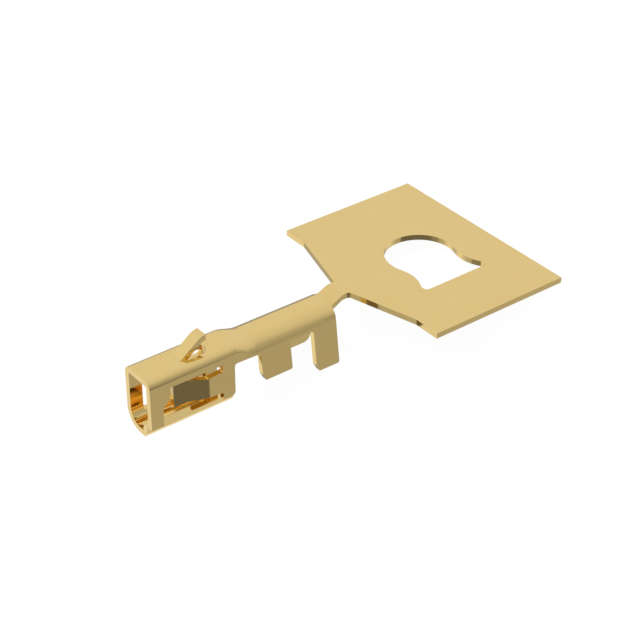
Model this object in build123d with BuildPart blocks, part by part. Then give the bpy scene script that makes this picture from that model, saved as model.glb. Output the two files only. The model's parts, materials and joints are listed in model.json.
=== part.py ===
from build123d import *
from math import atan2, cos, degrees, radians, sin, sqrt, tan
import os

# Sizes are in millimetres. The contact is drawn level: X runs from the mouth back to
# the carrier strip, Y to the side away from the seam, and Z = 0 is the carrier's top.

# Sheet
sheet = 0.20
inner_fold = 0.05
overlap = 0.05

# Socket box
box_width = 1.40
box_height = 2.25
box_drop = 0.06
box_length = 3.30
seam_wall_length = 3.19
seam_wall_height = 1.78
floor_bend = 0.67
lip_height = 0.60
lip_bevel = 0.17
lip_rear_height = 0.34
lip_step = 1.60
lip_step_corner = 0.12
lip_lean = 12.0
lip_gap = 0.03
lip_fold = 0.18

# Windows and contact springs of the two side walls
window_front = 0.46
window_rear = 2.73
window_drop = 0.44
far_window_height = 1.38
seam_strip_step = 0.26
seam_strip_drop = 0.42
seam_strip_slope = 0.26
seam_corner = 0.15
spring_axis_drop = 1.10
spring_bend = 2.14
spring_reach = 0.55
spring_tip = 0.53
spring_angle = 26.5
spring_tip_angle = 7.0
spring_waist = 0.72
spring_root_height = 0.81
spring_kink_height = 0.82
spring_tip_height = 0.88
spring_fold = 0.12

# Locking lance in the roof
lance_width = 0.46
lance_rise = 0.60
lance_root = 1.46
lance_length = 0.98
lance_ramp = 36.5
lance_bend = 0.25
lance_slot_width = 0.66
lance_slot_rear = 2.50
lance_slot_corner = 0.32

# Crimp barrels
crimp_drop = 0.14
crimp_width = 1.32
crimp_bend = 0.50
crimp_flare = 7.1
crimp_front = 4.05
crimp_rear = 7.24
transition_stations = 5
wall_height = 0.52
wire_wing_front = 4.19
wire_wing_rear = 5.36
wire_wing_height = 1.53
cover_wing_front = 6.31
cover_wing_height = 2.05
wing_corner_length = 0.11
wing_corner_height = 0.24
far_corner_radius = 0.28
wing_corner_radius = 0.07
wall_fillet = 0.10

# Neck
neck_width = 0.80
neck_root_width = 0.86
neck_rear = 7.82
neck_stations = 5
neck_fillet = 0.12

# Carrier strip with its pilot hole
carrier_width = 8.0
carrier_front = 8.74
carrier_rear = 14.21
carrier_point = 7.91
carrier_shoulder = 6.0
pilot_diameter = 2.50
pilot_center = 11.44
bell_waist = 2.20
bell_waist_drop = 0.87
bell_width = 2.64
bell_drop = 1.86
bell_corner = 0.15

# Heights and half widths that follow
box_top = -box_drop
box_floor = box_top - box_height
box_half = box_width / 2
inner_half = box_half - sheet
seam_bottom = box_top - seam_wall_height
crimp_top = -crimp_drop
crimp_half = crimp_width / 2
wall_bottom = crimp_top - wall_height


def corner(sketch, point):
    """Return the sketch vertex closest to a drawing point."""
    return sketch.vertices().sort_by_distance(point)[0]


def folded_strip(path):
    """Return the two faces of a strip of the sheet that is folded along a path."""
    runs = [(end - start).normalized() for start, end in zip(path, path[1:])]
    normals = [Vector(run.Y, -run.X) for run in runs]
    inner = [path[0] + normals[0] * sheet]
    for point, before, after in zip(path[1:], normals, normals[1:]):
        inner.append(point + (before + after) * (sheet / (1 + before.dot(after))))
    inner.append(path[-1] + normals[-1] * sheet)
    return path, inner


def barrel_section(place, half_width, top, bend, inner_bend, flare, bottom):
    """Draw the open U of the sheet at one station: a crown and two walls."""
    slope = tan(radians(flare))
    wall = sheet / cos(radians(flare))
    spread = half_width + slope * (top - bottom)
    inner_crown = half_width + slope * sheet - wall
    with BuildSketch(Plane.YZ.offset(place)) as section:
        with BuildLine():
            Polyline(
                (-spread, bottom),
                (-half_width, top),
                (half_width, top),
                (spread, bottom),
                (spread - wall, bottom),
                (inner_crown, top - sheet),
                (-inner_crown, top - sheet),
                (-spread + wall, bottom),
                close=True,
            )
        make_face()
        for side in (-1, 1):
            fillet(corner(section, (side * half_width, top)), bend)
            fillet(corner(section, (side * inner_crown, top - sheet)), inner_bend)
    return section.sketch


def eased(share, start, end):
    """Return the value at a share of a soft change from start to end."""
    return start + (end - start) * share * share * (3 - 2 * share)


def transition_section(share):
    """Draw the open U at a share of its way from the box to the crimp barrel."""
    bend = eased(share, inner_fold + sheet, crimp_bend)
    return barrel_section(
        box_length + (crimp_front - box_length) * share,
        eased(share, box_half, crimp_half),
        eased(share, box_top, crimp_top),
        bend,
        bend - sheet,
        eased(share, 0, crimp_flare),
        wall_bottom,
    )


def neck_section(share):
    """Draw the neck's cross-section at a share of its way from the barrel to the carrier."""
    half = neck_root_width / 2 + (neck_width - neck_root_width) / 2 * sqrt(share)
    top = eased(share, crimp_top, 0)
    center = crimp_half - crimp_bend
    sag = eased(share, crimp_bend - sqrt(crimp_bend**2 - max(half - center, 0) ** 2), 0)
    with BuildSketch(Plane.YZ.offset(crimp_rear + (neck_rear - crimp_rear) * share)) as section:
        with BuildLine():
            if share < 1:
                ThreePointArc((-half, top - sag), (0, top), (half, top - sag))
                Line((half, top - sag), (half, top - sag - sheet))
                ThreePointArc((half, top - sag - sheet), (0, top - sheet), (-half, top - sag - sheet))
                Line((-half, top - sag - sheet), (-half, top - sag))
            else:
                Polyline(
                    (-half, top),
                    (half, top),
                    (half, top - sheet),
                    (-half, top - sheet),
                    close=True,
                )
        make_face()
    return section.sketch


# Socket box: the strip folded into a tube, with the lip of its floor inside the seam wall
lip_slope = tan(radians(lip_lean))
lip_wall = sheet / cos(radians(lip_lean))
lip_face = inner_half - lip_gap
lip_foot = lip_face - lip_slope * lip_height
lip_inner_foot = lip_foot + lip_slope * sheet - lip_wall
lip_top = box_floor + lip_height
lip_bevel_foot = lip_inner_foot + lip_slope * (lip_height - lip_bevel - sheet)
seam_middle = inner_half - lip_gap / 2
cut_depth = 2 * box_height

with BuildPart() as box:
    with BuildSketch(Plane.YZ) as box_section:
        with BuildLine():
            Polyline(
                (-box_half, seam_bottom),
                (-box_half, box_top),
                (box_half, box_top),
                (box_half, box_floor),
                (-lip_foot, box_floor),
                (-lip_face, lip_top),
                (-lip_bevel_foot, lip_top - lip_bevel),
                (-lip_inner_foot, box_floor + sheet),
                (inner_half, box_floor + sheet),
                (inner_half, box_top - sheet),
                (-inner_half, box_top - sheet),
                (-inner_half, seam_bottom),
                close=True,
            )
        make_face()
        for side in (-1, 1):
            fillet(corner(box_section, (side * box_half, box_top)), inner_fold + sheet)
            fillet(corner(box_section, (side * inner_half, box_top - sheet)), inner_fold)
        fillet(corner(box_section, (box_half, box_floor)), floor_bend)
        fillet(corner(box_section, (inner_half, box_floor + sheet)), floor_bend - sheet)
        fillet(corner(box_section, (-lip_foot, box_floor)), lip_fold)
    extrude(amount=box_length)

    # The seam wall stops a little short of the far wall, with a soft corner above and below
    with BuildSketch(Plane.XZ.offset(seam_middle)) as seam_end:
        with Locations((seam_wall_length, wall_bottom)):
            Rectangle(box_length, cut_depth, align=(Align.MIN, Align.MAX))
        fillet(corner(seam_end, (seam_wall_length, wall_bottom)), wall_fillet)
    extrude(amount=box_half, mode=Mode.SUBTRACT)
    seam_end_edge = (seam_wall_length, -box_half, seam_bottom)
    fillet(box.edges().filter_by(Axis.Y).sort_by_distance(seam_end_edge)[0], seam_corner)

    # Window in the seam wall: open at its lower edge, with a wider strip at its upper front
    window_top = box_top - window_drop
    strip_bottom = window_top - seam_strip_drop
    with BuildSketch(Plane.XZ.offset(seam_middle)) as seam_window:
        with BuildLine():
            Polyline(
                (window_rear, window_top),
                (window_front + seam_strip_step, window_top),
                (window_front + seam_strip_step, strip_bottom),
                (window_front, strip_bottom - seam_strip_slope),
                (window_front, box_floor),
                (window_rear, box_floor),
                close=True,
            )
        make_face()
    extrude(amount=box_half, mode=Mode.SUBTRACT)

    # Window in the far wall
    with BuildSketch(Plane.XZ.offset(-box_half - overlap)) as far_window:
        with Locations((window_front, window_top)):
            Rectangle(window_rear - window_front, far_window_height, align=(Align.MIN, Align.MAX))
    extrude(amount=box_half / 2, mode=Mode.SUBTRACT)

    # The lip, bevelled on its inner side, is lower behind the step
    with BuildSketch(Plane.XZ) as lip_notch:
        with Locations((lip_step, box_floor + lip_rear_height)):
            Rectangle(box_length, lip_height, align=(Align.MIN, Align.MIN))
        fillet(corner(lip_notch, (lip_step, box_floor + lip_rear_height)), lip_step_corner)
    extrude(amount=seam_middle, mode=Mode.SUBTRACT)

# Contact spring of the seam side: a strip of the wall bent inwards towards the mouth
spring_kink = spring_bend - spring_reach
spring_end = spring_kink - spring_tip
kink_depth = spring_reach * tan(radians(spring_angle))
end_depth = kink_depth + spring_tip * tan(radians(spring_tip_angle))
spring_axis = box_top - spring_axis_drop
spring_anchor = window_rear + overlap

spring_path = [
    Vector(spring_anchor, -box_half),
    Vector(spring_bend, -box_half),
    Vector(spring_kink, -box_half + kink_depth),
    Vector(spring_end, -box_half + end_depth),
]

with BuildPart() as spring:
    with BuildSketch(Plane.XY.offset(spring_axis)) as spring_plan:
        outer, inner = folded_strip(spring_path)
        with BuildLine():
            Polyline(*outer, *reversed(inner), close=True)
        make_face()
        fillet(corner(spring_plan, outer[1]), spring_fold + sheet)
        fillet(corner(spring_plan, inner[1]), spring_fold)
        fillet(corner(spring_plan, outer[2]), spring_fold)
        fillet(corner(spring_plan, inner[2]), spring_fold + sheet)
    extrude(amount=spring_root_height, both=True)
    with BuildSketch(Plane.XZ) as spring_side:
        with BuildLine():
            Polyline(
                (spring_anchor, spring_axis + spring_root_height / 2),
                (spring_bend, spring_axis + spring_waist / 2),
                (spring_kink, spring_axis + spring_kink_height / 2),
                (spring_end - overlap, spring_axis + spring_tip_height / 2),
                (spring_end - overlap, spring_axis - spring_tip_height / 2),
                (spring_kink, spring_axis - spring_kink_height / 2),
                (spring_bend, spring_axis - spring_waist / 2),
                (spring_anchor, spring_axis - spring_root_height / 2),
                close=True,
            )
        make_face()
    extrude(amount=box_width, both=True, mode=Mode.INTERSECT)

# Locking lance: a tongue of the roof that ramps up and ends level, with its slot
lance_top = box_top + lance_rise
lance_level = lance_root + lance_rise / tan(radians(lance_ramp))
lance_path = [
    Vector(lance_root - lance_bend, box_top),
    Vector(lance_root, box_top),
    Vector(lance_level, lance_top),
    Vector(lance_root + lance_length, lance_top),
]

with BuildPart() as lance:
    with BuildSketch(Plane.XZ) as lance_side:
        outer, inner = folded_strip(lance_path)
        with BuildLine():
            Polyline(*outer, *reversed(inner), close=True)
        make_face()
        fillet(corner(lance_side, outer[1]), lance_bend)
        fillet(corner(lance_side, inner[1]), lance_bend + sheet)
        fillet(corner(lance_side, outer[2]), lance_bend + sheet)
        fillet(corner(lance_side, inner[2]), lance_bend)
    extrude(amount=lance_width / 2, both=True)

# Transition from the square box to the round crimp barrel
with BuildPart() as transition:
    loft(
        sections=[
            transition_section(index / (transition_stations - 1))
            for index in range(transition_stations)
        ]
    )

# Crimp barrels: the wire wings in front, the cover wings behind, and low walls between
wire_wing_bottom = crimp_top - wire_wing_height
cover_wing_bottom = crimp_top - cover_wing_height
barrel_length = crimp_rear - crimp_front

with BuildPart() as barrel:
    barrel_face = barrel_section(
        crimp_front,
        crimp_half,
        crimp_top,
        crimp_bend,
        crimp_bend - sheet,
        crimp_flare,
        cover_wing_bottom - overlap,
    )
    extrude(barrel_face, amount=barrel_length)
    with BuildSketch(Plane.XZ) as barrel_side:
        with BuildLine():
            Polyline(
                (crimp_front, 0),
                (crimp_front, wall_bottom),
                (wire_wing_front, wall_bottom),
                (wire_wing_front, wire_wing_bottom + wing_corner_height),
                (wire_wing_front + wing_corner_length, wire_wing_bottom),
                (wire_wing_rear, wire_wing_bottom),
                (wire_wing_rear, wall_bottom),
                (cover_wing_front, wall_bottom),
                (cover_wing_front, cover_wing_bottom + wing_corner_height),
                (cover_wing_front + wing_corner_length, cover_wing_bottom),
                (crimp_rear, cover_wing_bottom),
                (crimp_rear, 0),
                close=True,
            )
        make_face()
        for place in (wire_wing_front, wire_wing_rear, cover_wing_front):
            fillet(corner(barrel_side, (place, wall_bottom)), wall_fillet)
    extrude(amount=carrier_width, both=True, mode=Mode.INTERSECT)
    cross_edges = barrel.edges().filter_by(Axis.Y)
    for side, radius in ((-1, wing_corner_radius), (1, far_corner_radius)):
        cover_end = (crimp_rear, side * carrier_width, cover_wing_bottom)
        fillet(cross_edges.sort_by_distance(cover_end)[0], radius)
        wire_end = (wire_wing_rear, side * carrier_width, wire_wing_bottom)
        fillet(cross_edges.sort_by_distance(wire_end)[0], wing_corner_radius)

# Carrier strip
shoulder_half = carrier_shoulder / 2
carrier_half = carrier_width / 2
neck_half = neck_width / 2
neck_corner = carrier_point + (carrier_front - carrier_point) * neck_half / shoulder_half
pilot_radius = pilot_diameter / 2
waist_half = bell_waist / 2
flank_radius = (waist_half**2 + bell_waist_drop**2 - pilot_radius**2) / (
    2 * (pilot_radius - waist_half)
)
flank_center = waist_half + flank_radius
bell_top = bell_waist_drop * pilot_radius / (pilot_radius + flank_radius)

with BuildPart() as carrier:
    with BuildSketch() as carrier_outline:
        with BuildLine():
            Polyline(
                (neck_rear, neck_half),
                (neck_corner, neck_half),
                (carrier_front, shoulder_half),
                (carrier_front, carrier_half),
                (carrier_rear, carrier_half),
                (carrier_rear, -carrier_half),
                (carrier_front, -carrier_half),
                (carrier_front, -shoulder_half),
                (neck_corner, -neck_half),
                (neck_rear, -neck_half),
                close=True,
            )
        make_face()
        for side in (-1, 1):
            fillet(corner(carrier_outline, (neck_corner, side * neck_half)), neck_fillet)
    extrude(amount=-sheet)
    with BuildSketch() as pilot_outline:
        with Locations((pilot_center, -bell_drop)):
            Rectangle(bell_width, bell_drop - bell_top, align=(Align.CENTER, Align.MIN))
        fillet(pilot_outline.vertices().group_by(Axis.Y)[0], bell_corner)
        with Locations(
            (pilot_center - flank_center, -bell_waist_drop),
            (pilot_center + flank_center, -bell_waist_drop),
        ):
            Circle(flank_radius, mode=Mode.SUBTRACT)
        with Locations((pilot_center, 0)):
            Circle(pilot_radius)
    extrude(amount=-sheet, mode=Mode.SUBTRACT)


with BuildPart() as neck:
    loft(sections=[neck_section(index / (neck_stations - 1)) for index in range(neck_stations)])

# One folded sheet
with BuildPart() as contact:
    add(box.part)
    with BuildSketch(Plane.XY.offset(box_top - 2 * sheet)) as lance_slot:
        with Locations((lance_root, 0)):
            Rectangle(
                lance_slot_rear - lance_root, lance_slot_width, align=(Align.MIN, Align.CENTER)
            )
        fillet(lance_slot.vertices(), lance_slot_corner)
    extrude(amount=3 * sheet, mode=Mode.SUBTRACT)
    add(lance.part)
    add(spring.part)
    add(mirror(spring.part, about=Plane.XZ, mode=Mode.PRIVATE))
    add(transition.part)
    add(barrel.part)
    add(neck.part)
    add(carrier.part)

# At rest the contact lies on its cover wings and on the rear edge of the carrier
rest_rise = cover_wing_height + crimp_drop - sheet
rest_tilt = degrees(atan2(rest_rise, carrier_rear - crimp_rear))
tilted = contact.part.moved(Location((0, 0, 0), (0, rest_tilt, 0)))
bounds = tilted.bounding_box()
rest_shift = Location((-bounds.center().X, -bounds.center().Y, -bounds.min.Z))

with BuildPart() as crimp_socket_contact:
    add(tilted.moved(rest_shift))

os.makedirs("parts", exist_ok=True)
crimp_socket_contact.part.label = "crimp_socket_contact"
export_step(crimp_socket_contact.part, "parts/crimp_socket_contact.step")
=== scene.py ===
"""Dresses the crimp socket contact in bright gold plating and sets it in a pale studio.

The contact is one stamped and folded sheet. It lies as it comes to rest, on its
insulation wings and on the rear edge of its carrier strip, with its mouth raised.
"""

import json
import logging
import math
from dataclasses import dataclass, field
from enum import Enum

import bpy
from mathutils import Matrix, Vector


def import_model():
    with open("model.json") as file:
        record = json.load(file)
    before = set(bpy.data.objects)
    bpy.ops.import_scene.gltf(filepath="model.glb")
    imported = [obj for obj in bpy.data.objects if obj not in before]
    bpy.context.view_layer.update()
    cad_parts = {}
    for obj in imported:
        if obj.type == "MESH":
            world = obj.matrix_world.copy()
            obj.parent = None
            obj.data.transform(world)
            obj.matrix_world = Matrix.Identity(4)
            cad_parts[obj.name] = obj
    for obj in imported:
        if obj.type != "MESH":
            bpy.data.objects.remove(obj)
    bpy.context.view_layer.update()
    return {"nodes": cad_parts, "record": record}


LOG = logging.getLogger("crimp_socket_contact")
MILLIMETRE = 0.001
WHITE = (1.0, 1.0, 1.0, 1.0)
NODE_STEP = 220


class Direction(Enum):
    """The contact's own directions when it is held level, before it comes to rest."""

    BACK = "from the mouth towards the carrier strip"
    FAR = "away from the seam"
    UP = "square to the carrier strip"


class Socket(Enum):
    """The kinds of sockets that the node groups use."""

    NUMBER = "NodeSocketFloat"
    VECTOR = "NodeSocketVector"


@dataclass
class LevelFrame:
    """The frame in which the contact is level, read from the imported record's mounts."""

    record: dict
    mouth: Vector = field(init=False)
    axes: dict[Direction, Vector] = field(init=False)

    def __post_init__(self) -> None:
        """Find the level directions and the mouth from the mounts."""
        mounts = {mount["name"]: mount for mount in self.record["mounts"]}
        self.mouth = Vector(mounts["socket_mouth"]["pos_m"])
        back = -Vector(mounts["socket_mouth"]["axis"]).normalized()
        up = Vector(mounts["carrier_face"]["axis"]).normalized()
        self.axes = {Direction.BACK: back, Direction.FAR: up.cross(back), Direction.UP: up}

    def turn(self, back: float, far: float, up: float) -> Vector:
        """Turn a level direction into the scene.

        Args:
            back: share along the contact, towards the strip.
            far: share across the contact, away from the seam.
            up: share square to the strip.

        Returns:
            The same direction in the scene's frame.
        """
        return (
            self.axes[Direction.BACK] * back
            + self.axes[Direction.FAR] * far
            + self.axes[Direction.UP] * up
        )


class NodeBoard:
    """A small helper that lays out and links shader nodes in one tree."""

    def __init__(self, tree: bpy.types.NodeTree) -> None:
        """Keep the tree and start at its left side."""
        self.tree = tree
        self.column = 0

    def add(self, kind: str, **values: object) -> bpy.types.Node:
        """Add a node and set its properties and inputs.

        Args:
            kind: the node's type name.
            values: properties of the node, or its inputs with spaces as underscores.

        Returns:
            The new node.
        """
        node = self.tree.nodes.new(kind)
        node.location = (NODE_STEP * self.column, 0)
        self.column += 1
        for name, value in values.items():
            if hasattr(node, name):
                setattr(node, name, value)
            else:
                self.feed(node.inputs[name.replace("_", " ")], value)
        return node

    def feed(self, socket: bpy.types.NodeSocket, value: object) -> None:
        """Link an output to a socket, or set the socket's own value.

        Args:
            socket: the input to fill.
            value: an output socket, or a plain value.
        """
        if isinstance(value, bpy.types.NodeSocket):
            self.tree.links.new(value, socket)
        else:
            socket.default_value = value

    def number(self, operation: str, *values: object) -> bpy.types.NodeSocket:
        """Add a Math node and return its result.

        Args:
            operation: the node's operation.
            values: numbers or sockets, in the order of the node's inputs.

        Returns:
            The output socket.
        """
        node = self.add("ShaderNodeMath", operation=operation)
        for socket, value in zip(node.inputs, values):
            self.feed(socket, value)
        return node.outputs[0]

    def dot(self, left: object, right: object) -> bpy.types.NodeSocket:
        """Add a Vector Math node for the dot product of two vectors.

        Args:
            left: the first vector or socket.
            right: the second vector or socket.

        Returns:
            The output socket.
        """
        node = self.add("ShaderNodeVectorMath", operation="DOT_PRODUCT")
        self.feed(node.inputs[0], left)
        self.feed(node.inputs[1], right)
        return node.outputs["Value"]

    def blend(self, share: object, start: object, end: object) -> bpy.types.NodeSocket:
        """Add a Mix node for two colours.

        Args:
            share: how much of the second colour shows.
            start: the first colour or socket.
            end: the second colour or socket.

        Returns:
            The output socket.
        """
        node = self.add("ShaderNodeMix", data_type="RGBA")
        self.feed(node.inputs["Factor"], share)
        self.feed(node.inputs["A"], start)
        self.feed(node.inputs["B"], end)
        return node.outputs["Result"]

    def span(
        self, value: object, taken: tuple[float, float], given: tuple[float, float]
    ) -> bpy.types.NodeSocket:
        """Add a Map Range node that turns one span of values into another.

        Args:
            value: the number to turn.
            taken: the span that it comes in.
            given: the span that it is turned into.

        Returns:
            The output socket.
        """
        node = self.add("ShaderNodeMapRange")
        for name, number in zip(("From Min", "From Max", "To Min", "To Max"), taken + given):
            self.feed(node.inputs[name], number)
        self.feed(node.inputs["Value"], value)
        return node.outputs["Result"]

    def larger(self, left: object, right: object) -> bpy.types.NodeSocket:
        """Add a Math node for the larger of two numbers.

        Args:
            left: the first number or socket.
            right: the second number or socket.

        Returns:
            The output socket.
        """
        return self.number("MAXIMUM", left, right)

    def times(self, left: object, right: object) -> bpy.types.NodeSocket:
        """Add a Math node for the product of two numbers.

        Args:
            left: the first number or socket.
            right: the second number or socket.

        Returns:
            The output socket.
        """
        return self.number("MULTIPLY", left, right)

    def split(self, share: object, others: object, camera: object) -> bpy.types.NodeSocket:
        """Mix a shader for the camera's own rays with one for all other rays.

        Args:
            share: how much of the camera's shader its rays see.
            others: the shader that other rays see.
            camera: the shader that the camera's rays see.

        Returns:
            The output socket.
        """
        seen = self.add("ShaderNodeLightPath").outputs["Is Camera Ray"]
        mix = self.add("ShaderNodeMixShader")
        self.feed(mix.inputs[0], self.times(seen, share))
        self.feed(mix.inputs[1], others)
        self.feed(mix.inputs[2], camera)
        return mix.outputs[0]

    def ramp(self, share: object, stops: tuple[tuple[float, float], ...]) -> bpy.types.NodeSocket:
        """Add a grey Color Ramp and return its colour.

        Args:
            share: the position on the ramp.
            stops: pairs of position and grey level.

        Returns:
            The output socket.
        """
        node = self.add("ShaderNodeValToRGB")
        self.feed(node.inputs["Fac"], share)
        elements = node.color_ramp.elements
        while len(elements) < len(stops):
            elements.new(1.0)
        for element, (place, level) in zip(elements, stops):
            element.position = place
            element.color = (level, level, level, 1.0)
        return node.outputs["Color"]


@dataclass(frozen=True)
class PlatingEffect:
    """Node group: the fine marks of plated strip, as masks and a bump height."""

    name: str = "plated_strip"
    grain_stretch: float = -0.94
    grain_detail: float = 4.0
    grain_roughness: float = 0.6
    cloud_detail: float = 3.0
    speck_detail: float = 2.0
    soft_roughness: float = 0.5
    grain_share: float = 0.6
    cloud_share: float = 0.4
    speck_share: float = 0.35

    def noise(
        self, board: NodeBoard, place: object, scale: object, detail: float, roughness: float
    ) -> bpy.types.NodeSocket:
        """Add one layer of noise.

        Args:
            board: the board of the group.
            place: the coordinates that the noise follows.
            scale: its scale.
            detail: its detail.
            roughness: its roughness.

        Returns:
            The noise as a number.
        """
        layer = board.add(
            "ShaderNodeTexNoise", Vector=place, Scale=scale, Detail=detail, Roughness=roughness
        )
        return layer.outputs["Fac"]

    def build(self) -> bpy.types.NodeTree:
        """Make the group once.

        Returns:
            The group, with outputs Tone, Haze and Height.
        """
        group = bpy.data.node_groups.new(self.name, "ShaderNodeTree")
        face = group.interface
        face.new_socket(name="Grain Direction", in_out="INPUT", socket_type=Socket.VECTOR.value)
        for name in ("Grain Scale", "Cloud Scale"):
            face.new_socket(name=name, in_out="INPUT", socket_type=Socket.NUMBER.value)
        for name in ("Tone", "Haze", "Height"):
            face.new_socket(name=name, in_out="OUTPUT", socket_type=Socket.NUMBER.value)
        board = NodeBoard(group)
        taken = board.add("NodeGroupInput").outputs
        place = board.add("ShaderNodeTexCoord").outputs["Object"]
        along = board.dot(place, taken["Grain Direction"])
        stretch = board.add("ShaderNodeVectorMath", operation="SCALE")
        board.feed(stretch.inputs[0], taken["Grain Direction"])
        board.feed(stretch.inputs["Scale"], board.times(along, self.grain_stretch))
        drawn = board.add("ShaderNodeVectorMath", operation="ADD")
        board.feed(drawn.inputs[0], place)
        board.feed(drawn.inputs[1], stretch.outputs[0])
        grain = self.noise(
            board, drawn.outputs[0], taken["Grain Scale"], self.grain_detail, self.grain_roughness
        )
        clouds = self.noise(
            board, place, taken["Cloud Scale"], self.cloud_detail, self.soft_roughness
        )
        specks = self.noise(
            board, place, taken["Grain Scale"], self.speck_detail, self.soft_roughness
        )
        haze = board.times(grain, self.grain_share)
        out = board.add("NodeGroupOutput").inputs
        board.feed(out["Tone"], clouds)
        board.feed(out["Haze"], board.number("MULTIPLY_ADD", clouds, self.cloud_share, haze))
        board.feed(out["Height"], board.number("MULTIPLY_ADD", specks, self.speck_share, grain))
        return group


@dataclass(frozen=True)
class GoldPlating:
    """Bright gold flash on rolled copper alloy strip, with its relief in metres."""

    name: str = "bright_gold_plating"
    light_tone: tuple[float, float, float, float] = (0.968, 0.732, 0.307, 1.0)
    deep_tone: tuple[float, float, float, float] = (0.925, 0.679, 0.269, 1.0)
    smoothest: float = 0.05
    dullest: float = 0.10
    grain_scale: float = 26000.0
    cloud_scale: float = 900.0
    grain_relief: float = 0.0000004
    relief_strength: float = 0.05

    def build(self, effect: bpy.types.NodeTree, grain: Vector) -> bpy.types.Material:
        """Make the material.

        Args:
            effect: the node group of plated strip.
            grain: the direction in which the strip was rolled.

        Returns:
            The finished material.
        """
        material = bpy.data.materials.new(self.name)
        material.use_nodes = True
        material.node_tree.nodes.clear()
        board = NodeBoard(material.node_tree)
        marks = board.add("ShaderNodeGroup", node_tree=effect)
        marks.inputs["Grain Direction"].default_value = grain
        marks.inputs["Grain Scale"].default_value = self.grain_scale
        marks.inputs["Cloud Scale"].default_value = self.cloud_scale
        tone = board.blend(marks.outputs["Tone"], self.light_tone, self.deep_tone)
        dull = board.span(marks.outputs["Haze"], (0.0, 1.0), (self.smoothest, self.dullest))
        bump = board.add(
            "ShaderNodeBump", Strength=self.relief_strength, Distance=self.grain_relief
        )
        board.feed(bump.inputs["Height"], marks.outputs["Height"])
        metal = board.add("ShaderNodeBsdfPrincipled", Metallic=1.0)
        board.feed(metal.inputs["Base Color"], tone)
        board.feed(metal.inputs["Roughness"], dull)
        board.feed(metal.inputs["Normal"], bump.outputs["Normal"])
        out = board.add("ShaderNodeOutputMaterial")
        board.feed(out.inputs["Surface"], metal.outputs["BSDF"])
        return material


@dataclass
class Contact:
    """The folded sheet itself, which stays as it was modelled."""

    node: bpy.types.Object
    level: LevelFrame
    plating: GoldPlating = field(default_factory=GoldPlating)

    def dress(self) -> None:
        """Give the sheet its plating."""
        material = self.plating.build(PlatingEffect().build(), self.level.axes[Direction.BACK])
        self.node.data.materials.clear()
        self.node.data.materials.append(material)
        LOG.info("dressed %s in %s", self.node.name, material.name)


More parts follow.
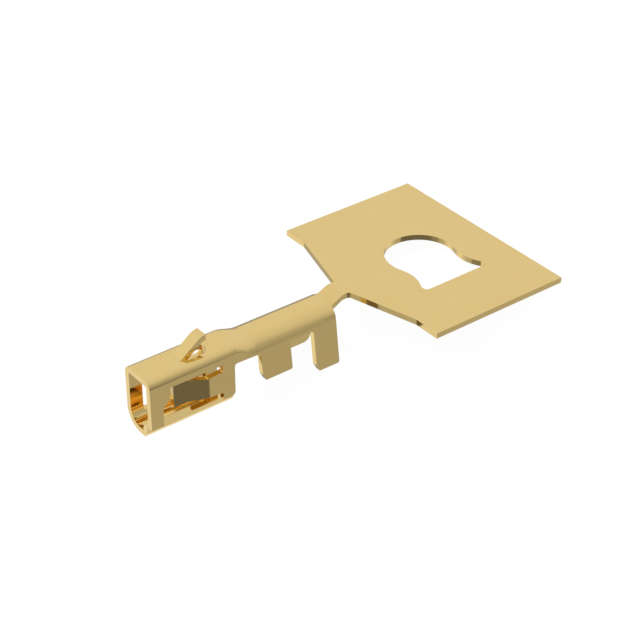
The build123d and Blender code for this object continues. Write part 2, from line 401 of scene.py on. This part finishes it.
@dataclass(frozen=True)
class Room:
    """The soft white surroundings that the plating reflects, in the level frame.

    The room is bright behind and above the contact, and dim towards the seam side. A ramp
    runs from the bright side to the dim side, one for the upper and one for the lower half.
    The ground glows, most of all straight below. A soft dark band lies at eye level, a low
    place at the far side is shaded, and the room in front of the mouth is a little brighter.
    """

    level: LevelFrame
    dim_side: tuple[float, float, float] = (-0.58, -0.80, -0.15)
    upper_ramp: tuple[tuple[float, float], ...] = (
        (0.05, 0.755),
        (0.18, 0.736),
        (0.35, 0.70),
        (0.47, 0.66),
        (0.58, 0.59),
        (0.66, 0.462),
        (0.75, 0.445),
        (0.82, 0.24),
    )
    lower_ramp: tuple[tuple[float, float], ...] = (
        (0.43, 0.745),
        (0.60, 0.47),
        (0.66, 0.418),
        (0.69, 0.438),
        (0.712, 0.442),
        (0.757, 0.151),
        (0.93, 0.141),
    )
    halves_meet: tuple[float, float] = (-0.36, 0.06)
    ground_glow: float = 0.64
    ground_edge: tuple[float, float] = (-0.75, -0.62)
    under_glow: float = 1.05
    under_edge: tuple[float, float] = (-0.865, -0.84)
    band_depth: float = 0.20
    band_drop: float = 0.10
    band_width: float = 0.25
    shade_side: tuple[float, float, float] = (0.42, 0.78, -0.46)
    shade_edge: tuple[float, float] = (0.66, 0.93)
    shade_depth: float = 0.58
    front_glow: float = 0.40
    front_glow_edge: tuple[float, float] = (-0.95, -0.71)
    front_lift: float = 0.11
    front_lift_edge: tuple[float, float] = (-0.40, 0.20)

    def base(
        self, board: NodeBoard, height: bpy.types.NodeSocket, share: bpy.types.NodeSocket
    ) -> bpy.types.NodeSocket:
        """Blend the two ramps and add the glow of the ground, brightest straight below.

        Args:
            board: the board of the world.
            height: how far a direction points up.
            share: how far it points to the dim side, from 0 to 1.

        Returns:
            The strength of the room.
        """
        rise = board.span(height, self.halves_meet, (0.0, 1.0))
        lower = board.ramp(share, self.lower_ramp)
        upper = board.ramp(share, self.upper_ramp)
        ground = board.span(height, self.ground_edge, (self.ground_glow, 0.0))
        under = board.span(height, self.under_edge, (self.under_glow, 0.0))
        return board.larger(board.larger(board.blend(rise, lower, upper), ground), under)

    def band(
        self, board: NodeBoard, height: bpy.types.NodeSocket, share: bpy.types.NodeSocket
    ) -> bpy.types.NodeSocket:
        """Make the soft dark band at eye level, strongest on the dim side.

        Args:
            board: the board of the world.
            height: how far a direction points up.
            share: how far it points to the dim side, from 0 to 1.

        Returns:
            The factor by which the band dims the room.
        """
        offset = board.number("ADD", height, self.band_drop)
        narrow = board.number("DIVIDE", offset, self.band_width)
        fall = board.times(board.times(narrow, narrow), -1.0)
        dark = board.times(board.number("EXPONENT", fall), share)
        return board.number("MULTIPLY_ADD", dark, -self.band_depth, 1.0)

    def strength(self, board: NodeBoard) -> bpy.types.NodeSocket:
        """Work out how bright the room is in each direction.

        Args:
            board: the board of the world.

        Returns:
            The strength of the room.
        """
        sight = board.add("ShaderNodeTexCoord").outputs["Generated"]
        height = board.dot(sight, self.level.axes[Direction.UP])
        dim_side = self.level.turn(*self.dim_side).normalized()
        share = board.number("MULTIPLY_ADD", board.dot(sight, dim_side), 0.5, 0.5)
        room = board.times(self.base(board, height, share), self.band(board, height, share))
        shade_side = self.level.turn(*self.shade_side).normalized()
        darkest = 1.0 - self.shade_depth
        shade = board.span(board.dot(sight, shade_side), self.shade_edge, (1.0, darkest))
        room = board.times(room, shade)
        back = board.dot(sight, self.level.axes[Direction.BACK])
        glow = board.span(back, self.front_glow_edge, (self.front_glow, 0.0))
        lift = board.span(back, self.front_lift_edge, (1.0 + self.front_lift, 1.0))
        return board.times(board.larger(room, glow), lift)

    def build(self) -> None:
        """Make the room, which the camera itself sees as plain white."""
        world = bpy.data.worlds.new("studio_room")
        bpy.context.scene.world = world
        world.use_nodes = True
        world.node_tree.nodes.clear()
        board = NodeBoard(world.node_tree)
        strength = self.strength(board)
        lit = board.add("ShaderNodeBackground", Color=WHITE, Strength=strength)
        white = board.add("ShaderNodeBackground", Color=WHITE, Strength=1.0)
        out = board.add("ShaderNodeOutputWorld")
        board.feed(out.inputs["Surface"], board.split(1.0, lit.outputs[0], white.outputs[0]))
        LOG.info("lit the room")


@dataclass(frozen=True)
class Floor:
    """The plain pale floor, in metres, which keeps a faint shadow of the contact."""

    half: float = 0.6
    paint: tuple[float, float, float, float] = (0.90, 0.90, 0.90, 1.0)
    glow_share: float = 0.965

    def finish(self) -> bpy.types.Material:
        """Make matt paint that the camera sees almost as pure white.

        Returns:
            The finished material.
        """
        material = bpy.data.materials.new("pale_floor")
        material.use_nodes = True
        material.node_tree.nodes.clear()
        board = NodeBoard(material.node_tree)
        matt = board.add("ShaderNodeBsdfDiffuse", Color=self.paint)
        glow = board.add("ShaderNodeEmission", Color=WHITE, Strength=1.0)
        surface = board.split(self.glow_share, matt.outputs[0], glow.outputs[0])
        out = board.add("ShaderNodeOutputMaterial")
        board.feed(out.inputs["Surface"], surface)
        return material

    def lay(self) -> None:
        """Lay the floor under the contact."""
        half = self.half
        mesh = bpy.data.meshes.new("floor")
        corners = [(-half, -half, 0.0), (half, -half, 0.0), (half, half, 0.0), (-half, half, 0.0)]
        mesh.from_pydata(corners, [], [(0, 1, 2, 3)])
        mesh.materials.append(self.finish())
        floor = bpy.data.objects.new("floor", mesh)
        floor.visible_glossy = False
        bpy.context.scene.collection.objects.link(floor)
        LOG.info("laid the floor")


@dataclass(frozen=True)
class SoftLamp:
    """One large soft lamp above the far side, in metres and watts."""

    place: tuple[float, float, float] = (-0.02, 0.03, 0.12)
    width: float = 0.16
    power: float = 0.33

    def hang(self) -> None:
        """Hang the lamp and aim it at the contact."""
        lamp = bpy.data.lights.new("soft_lamp", "AREA")
        lamp.shape = "DISK"
        lamp.size = self.width
        lamp.energy = self.power
        holder = bpy.data.objects.new("soft_lamp", lamp)
        holder.location = self.place
        aim = -Vector(self.place)
        holder.rotation_euler = aim.to_track_quat("-Z", "Y").to_euler()
        holder.visible_glossy = False
        bpy.context.scene.collection.objects.link(holder)
        LOG.info("hung the lamp")


@dataclass(frozen=True)
class Studio:
    """Pale floor, white surroundings and soft light."""

    room: Room
    floor: Floor = Floor()
    lamp: SoftLamp = SoftLamp()

    def build(self) -> None:
        """Build the whole studio."""
        self.room.build()
        self.floor.lay()
        self.lamp.hang()
        bpy.context.scene.view_settings.view_transform = "Standard"


@dataclass(frozen=True)
class Viewpoint:
    """Where the camera stands, given in the contact's level frame.

    Its place is in millimetres from the mouth, and its angles are in degrees.
    """

    level: LevelFrame
    stand: tuple[float, float, float] = (-22.76, -38.826, 33.144)
    azimuth: float = 37.587
    elevation: float = 33.909
    roll: float = 0.077
    lens: float = 100.26
    sensor: float = 36.0
    reach: float = 10.0

    def place(self) -> None:
        """Make the camera and use it for the scene."""
        data = bpy.data.cameras.new("camera")
        data.lens = self.lens
        data.sensor_width = self.sensor
        data.clip_start = MILLIMETRE
        data.clip_end = self.reach
        camera = bpy.data.objects.new("camera", data)
        bpy.context.scene.collection.objects.link(camera)
        turn = math.radians(self.azimuth)
        drop = math.radians(self.elevation)
        forward = self.level.turn(
            math.cos(drop) * math.sin(turn), math.cos(drop) * math.cos(turn), -math.sin(drop)
        )
        right = self.level.turn(math.cos(turn), -math.sin(turn), 0.0)
        up = right.cross(forward)
        lean = math.radians(self.roll)
        right, up = (
            right * math.cos(lean) + up * math.sin(lean),
            up * math.cos(lean) - right * math.sin(lean),
        )
        pose = Matrix((right, up, -forward)).transposed().to_4x4()
        pose.translation = self.level.mouth + self.level.turn(*self.stand) * MILLIMETRE
        camera.matrix_world = pose
        bpy.context.scene.camera = camera
        LOG.info("placed the camera")


def main() -> None:
    """Build the scene."""
    logging.basicConfig(level=logging.INFO, format="%(name)s: %(message)s")
    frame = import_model()
    level = LevelFrame(frame["record"])
    Contact(frame["nodes"]["crimp_socket_contact"], level).dress()
    Studio(Room(level)).build()
    Viewpoint(level).place()


if __name__ == "__main__":
    main()
